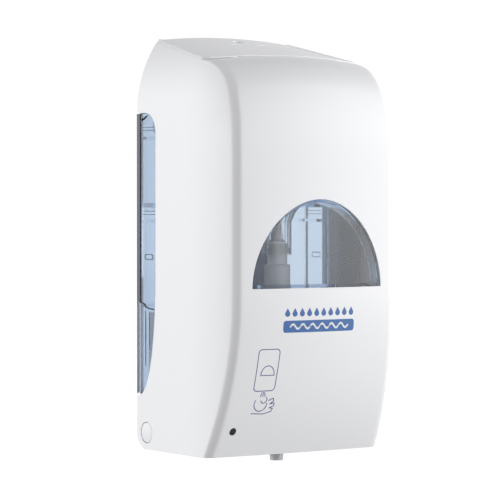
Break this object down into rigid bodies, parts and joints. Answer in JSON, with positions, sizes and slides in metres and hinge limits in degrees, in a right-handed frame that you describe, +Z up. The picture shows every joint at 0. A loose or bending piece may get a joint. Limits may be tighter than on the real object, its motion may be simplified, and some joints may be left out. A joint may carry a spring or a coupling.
{
  "type": "wall-mounted soap dispenser",
  "caption": "Wall-mounted no-touch soap dispenser: white hinged cover with a tinted D window, blue back body, tank, spring-return pump, geared motor drive and battery box.",
  "frame": {"origin": "on the wall face of the back plate, midway across and midway up the casing", "axes": "+X to the right as someone facing the dispenser sees it, +Y into the wall, +Z up"},
  "size_m": [0.13, 0.104, 0.2623],
  "materials": {
    "white_abs": "white moulded ABS, satin gloss",
    "smoke_blue": "smoky blue transparent plastic",
    "window_tint": "tinted transparent plastic, polished",
    "clear_tank": "clear blown plastic",
    "white_pp": "white moulded plastic",
    "frosted_silicone": "translucent silicone",
    "grey_abs": "grey moulded ABS",
    "black_lens": "black infrared-passing plastic",
    "steel": "plated steel",
    "acetal": "natural acetal",
    "board_green": "glass-fibre circuit board with solder mask",
    "cell_sleeve": "printed battery sleeve",
    "red_wire": "red wire insulation",
    "black_wire": "black wire insulation"
  },
  "bodies": {
    "back": {"pivot_pin_left": "white_abs", "pivot_pin_right": "white_abs", "back_body": "smoke_blue", "ir_emitter": "smoke_blue", "tank": "clear_tank", "pump_barrel": "white_pp", "valve_housing": "white_pp", "inlet_spike": "white_pp", "neck_seal": "frosted_silicone", "status_led": "frosted_silicone", "chassis": "grey_abs", "pump_clamp": "grey_abs", "gearbox_case": "grey_abs", "gearbox_cover": "grey_abs", "battery_case": "grey_abs", "sensor_tray": "grey_abs", "ir_receiver": "black_lens", "sensor_lens": "black_lens", "latch_keeper": "steel", "pump_spring": "steel", "compound_axle": "steel", "output_axle": "steel", "motor": "steel", "chassis_screw_1": "steel", "chassis_screw_2": "steel", "chassis_screw_3": "steel", "chassis_screw_4": "steel", "gearbox_screw_1": "steel", "gearbox_screw_2": "steel", "gearbox_screw_3": "steel", "contact_top_left": "steel", "contact_top_right": "steel", "contact_foot_left": "steel", "contact_foot_middle": "steel", "contact_foot_right": "steel", "control_board": "board_green", "sensor_board": "board_green", "battery_1": "cell_sleeve", "battery_2": "cell_sleeve", "battery_3": "cell_sleeve", "battery_4": "cell_sleeve", "battery_lead_red": "red_wire", "battery_lead_black": "black_wire"},
    "cover": {"cover": "white_abs", "window": "window_tint", "status_lens": "black_lens"},
    "lock": {"lock_barrel": "white_pp", "lock_cam": "steel"},
    "output_gear": {"output_gear": "acetal"},
    "compound_gear": {"compound_gear": "acetal"},
    "motor_pinion": {"motor_pinion": "acetal"},
    "piston": {"pump_yoke": "acetal", "pump_piston": "white_pp", "nozzle_tip": "frosted_silicone"},
    "tank_cap": {"tank_cap": "white_pp"},
    "power_switch": {"power_switch": "white_pp"},
    "inlet_ball": {"inlet_ball": "steel"},
    "battery_door": {"battery_door": "grey_abs"}
  },
  "joints": [
    {"name": "cover_hinge", "type": "hinge", "parent": "back", "child": "cover", "pos_m": [0, -0.0115, -0.1176], "axis": [1, 0, 0], "range_deg": [0, 90]},
    {"name": "lock_turn", "type": "hinge", "parent": "cover", "child": "lock", "pos_m": [0, -0.017, 0.1169], "axis": [0, 0, -1], "range_deg": [0, 90]},
    {"name": "output_spin", "type": "hinge", "parent": "back", "child": "output_gear", "pos_m": [0.0248, -0.058, -0.0821], "axis": [0, 1, 0], "range_deg": [0, 76.5]},
    {"name": "compound_spin", "type": "hinge", "parent": "back", "child": "compound_gear", "pos_m": [0.04134, -0.073, -0.07403], "axis": [0, 1, 0], "range_deg": [-275.5, 0]},
    {"name": "pinion_spin", "type": "hinge", "parent": "back", "child": "motor_pinion", "pos_m": [0.04134, -0.075, -0.08963], "axis": [0, 1, 0], "range_deg": [0, 918]},
    {"name": "pump_stroke", "type": "slide", "parent": "back", "child": "piston", "axis": [0, 0, 1], "range_m": [0, 0.008], "stiffness_N_per_m": 500, "springref_m": -0.004, "deforming": ["pump_spring"]},
    {"name": "cap_turn", "type": "hinge", "parent": "back", "child": "tank_cap", "pos_m": [0, -0.036, 0.0879], "axis": [0, 0, 1], "range_deg": [0, 90]},
    {"name": "switch_slide", "type": "slide", "parent": "back", "child": "power_switch", "axis": [1, 0, 0], "range_m": [0, 0.0056]},
    {"name": "inlet_valve_lift", "type": "slide", "parent": "back", "child": "inlet_ball", "axis": [0, 0, 1], "range_m": [0, 0.0018]},
    {"name": "battery_door_slide", "type": "slide", "parent": "back", "child": "battery_door", "axis": [0, 0, 1], "range_m": [0, 0.061]}
  ],
  "couplings": [
    {"joint": "output_spin", "follows": "pump_stroke", "rad_per_m": 166.67},
    {"joint": "compound_spin", "follows": "pump_stroke", "rad_per_m": -600},
    {"joint": "pinion_spin", "follows": "pump_stroke", "rad_per_m": 2000}
  ]
}
